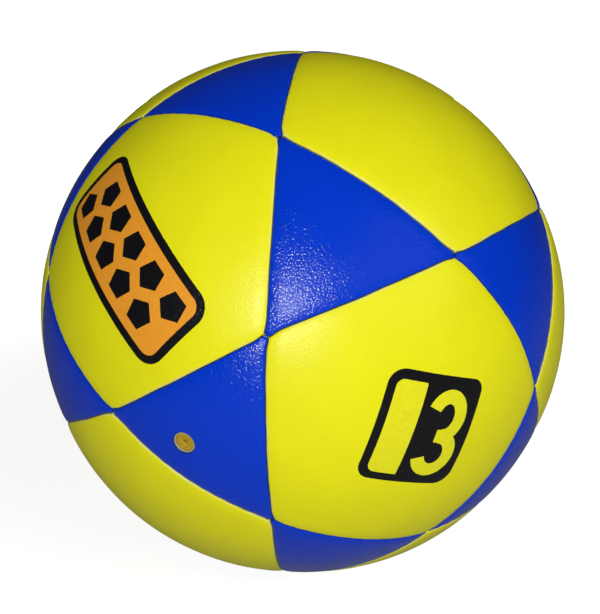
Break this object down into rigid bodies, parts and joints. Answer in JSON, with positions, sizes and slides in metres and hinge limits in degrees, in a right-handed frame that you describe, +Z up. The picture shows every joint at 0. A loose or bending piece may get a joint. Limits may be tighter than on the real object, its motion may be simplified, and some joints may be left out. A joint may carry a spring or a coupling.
{
  "type": "futsal ball",
  "caption": "Sewn futsal ball of yellow pentagon and blue triangle panels, with foam and cloth backing, a bladder and a needle valve with a removable plug.",
  "frame": {"origin": "middle of the ball", "axes": "+Z up through a seam crossing, +X and +Y through seam crossings as well; the valve looks out near -Y, a little towards +X"},
  "size_m": [0.187, 0.187, 0.187],
  "materials": {
    "yellow_cover": "gloss",
    "blue_cover": "gloss",
    "print_ink": "satin",
    "foam": "matte",
    "lining_cloth": "matte",
    "thread": "matte",
    "butyl": "matte",
    "valve_rim_rubber": "satin",
    "valve_rubber": "satin"
  },
  "bodies": {
    "ball": {"pentagon_panel_01": "yellow_cover", "pentagon_panel_02": "yellow_cover", "pentagon_panel_03": "yellow_cover", "pentagon_panel_04": "yellow_cover", "pentagon_panel_05": "yellow_cover", "pentagon_panel_06": "yellow_cover", "pentagon_panel_07": "yellow_cover", "pentagon_panel_08": "yellow_cover", "pentagon_panel_09": "yellow_cover", "pentagon_panel_10": "yellow_cover", "pentagon_panel_11": "yellow_cover", "pentagon_panel_12": "yellow_cover", "triangle_panel_01": "blue_cover", "triangle_panel_02": "blue_cover", "triangle_panel_03": "blue_cover", "triangle_panel_04": "blue_cover", "triangle_panel_05": "blue_cover", "triangle_panel_06": "blue_cover", "triangle_panel_07": "blue_cover", "triangle_panel_08": "blue_cover", "triangle_panel_09": "blue_cover", "triangle_panel_10": "blue_cover", "triangle_panel_11": "blue_cover", "triangle_panel_12": "blue_cover", "triangle_panel_13": "blue_cover", "triangle_panel_14": "blue_cover", "triangle_panel_15": "blue_cover", "triangle_panel_16": "blue_cover", "triangle_panel_17": "blue_cover", "triangle_panel_18": "blue_cover", "triangle_panel_19": "blue_cover", "valve_panel": "blue_cover", "pentagon_foams": "foam", "triangle_foams": "foam", "valve_panel_foam": "foam", "pentagon_linings": "lining_cloth", "triangle_linings": "lining_cloth", "valve_panel_lining": "lining_cloth", "seam_thread_1": "thread", "seam_thread_2": "thread", "seam_thread_3": "thread", "seam_thread_4": "thread", "seam_thread_5": "thread", "seam_thread_6": "thread", "bladder": "butyl", "balance_patch": "butyl", "valve_housing": "valve_rim_rubber"},
    "valve_plug": {"valve_plug": "valve_rubber"}
  },
  "joints": [
    {"name": "valve_plug_slide", "type": "slide", "parent": "ball", "child": "valve_plug", "axis": [0.2942, -0.9553, -0.0298], "range_m": [0, 0.016]}
  ]
}
